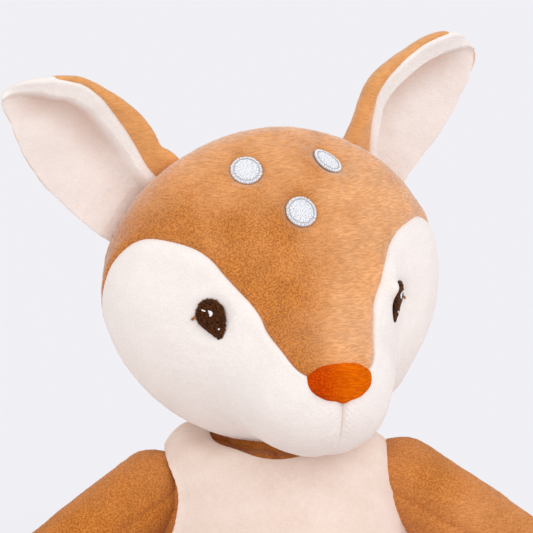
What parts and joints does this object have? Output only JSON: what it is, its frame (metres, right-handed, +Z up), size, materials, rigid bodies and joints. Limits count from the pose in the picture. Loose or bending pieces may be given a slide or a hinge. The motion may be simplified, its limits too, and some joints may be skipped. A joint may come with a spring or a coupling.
{
  "type": "plush fawn toy",
  "caption": "Seated plush fawn with a turned head, cupped ears, embroidered face and a sleeveless vest; its head, ears, arms, legs and tail flex on sewn joints.",
  "frame": {"origin": "the middle of the flat seat under the torso", "axes": "+Z up, the fawn's chest and legs point to -Y, its right side is -X; the head is stored turned 20.9 degrees towards +X"},
  "size_m": [0.2448, 0.2069, 0.2428],
  "materials": {
    "caramel_plush": "short velvety pile, caramel",
    "cream_plush": "short velvety pile, cream",
    "rust_plush": "short pile combed sideways, rust orange",
    "brown_thread": "satin stitched thread, dark brown",
    "white_thread": "satin stitched thread, cool white",
    "vest_knit": "fine soft cotton, pale pink beige",
    "fibre_filling": "loose white fibre filling",
    "bag_cloth": "plain woven bag cloth, grey"
  },
  "bodies": {
    "torso": {"torso_skin": "caramel_plush", "torso_filling": "fibre_filling", "pellet_bag": "bag_cloth", "vest_front": "vest_knit", "vest_back": "vest_knit"},
    "neck": {"neck": "caramel_plush"},
    "head": {"head_filling": "fibre_filling", "crown_panel": "caramel_plush", "back_head_panel": "caramel_plush", "face_panel_left": "cream_plush", "face_panel_right": "cream_plush", "nose_patch": "rust_plush", "eye_left": "brown_thread", "eye_right": "brown_thread", "dot_centre": "white_thread", "dot_left": "white_thread", "dot_right": "white_thread"},
    "ear_left": {"ear_back_left": "caramel_plush", "ear_lining_left": "cream_plush"},
    "ear_right": {"ear_back_right": "caramel_plush", "ear_lining_right": "cream_plush"},
    "arm_left": {"arm_left_skin": "caramel_plush", "arm_left_filling": "fibre_filling"},
    "arm_right": {"arm_right_skin": "caramel_plush", "arm_right_filling": "fibre_filling"},
    "leg_left": {"leg_left_skin": "caramel_plush", "leg_left_filling": "fibre_filling"},
    "leg_right": {"leg_right_skin": "caramel_plush", "leg_right_filling": "fibre_filling"},
    "tail": {"tail": "caramel_plush"}
  },
  "joints": [
    {"name": "neck_turn", "type": "hinge", "parent": "torso", "child": "neck", "pos_m": [0, 0, 0.1285], "axis": [0, 0, 1], "range_deg": [-80, 40], "stiffness_Nm_per_rad": 0.25},
    {"name": "head_nod", "type": "hinge", "parent": "neck", "child": "head", "pos_m": [0, 0, 0.1285], "axis": [0.9342, 0.3567, 0], "range_deg": [-15, 6], "stiffness_Nm_per_rad": 0.4},
    {"name": "ear_left_flex", "type": "hinge", "parent": "head", "child": "ear_left", "pos_m": [0.032, 0.02224, 0.20168], "axis": [-0.5298, -0.518, 0.6715], "range_deg": [-35, 35], "stiffness_Nm_per_rad": 0.01},
    {"name": "ear_right_flex", "type": "hinge", "parent": "head", "child": "ear_right", "pos_m": [-0.04344, -0.00741, 0.19717], "axis": [-0.6845, -0.0942, -0.7229], "range_deg": [-35, 35], "stiffness_Nm_per_rad": 0.01},
    {"name": "shoulder_left", "type": "hinge", "parent": "torso", "child": "arm_left", "pos_m": [0.039, 0, 0.1035], "axis": [0, -1, 0], "range_deg": [-15, 45], "stiffness_Nm_per_rad": 0.06},
    {"name": "shoulder_right", "type": "hinge", "parent": "torso", "child": "arm_right", "pos_m": [-0.039, 0, 0.1035], "axis": [0, 1, 0], "range_deg": [-15, 45], "stiffness_Nm_per_rad": 0.06},
    {"name": "hip_left", "type": "hinge", "parent": "torso", "child": "leg_left", "pos_m": [0.024, -0.03, 0.0165], "axis": [-0.9781, -0.2079, 0], "range_deg": [-90, 5], "stiffness_Nm_per_rad": 0.08},
    {"name": "hip_right", "type": "hinge", "parent": "torso", "child": "leg_right", "pos_m": [-0.024, -0.03, 0.0165], "axis": [-0.9781, 0.2079, 0], "range_deg": [-90, 5], "stiffness_Nm_per_rad": 0.08},
    {"name": "tail_flex", "type": "hinge", "parent": "torso", "child": "tail", "pos_m": [0, 0.0395, 0.024], "axis": [1, 0, 0], "range_deg": [-40, 15], "stiffness_Nm_per_rad": 0.008}
  ]
}
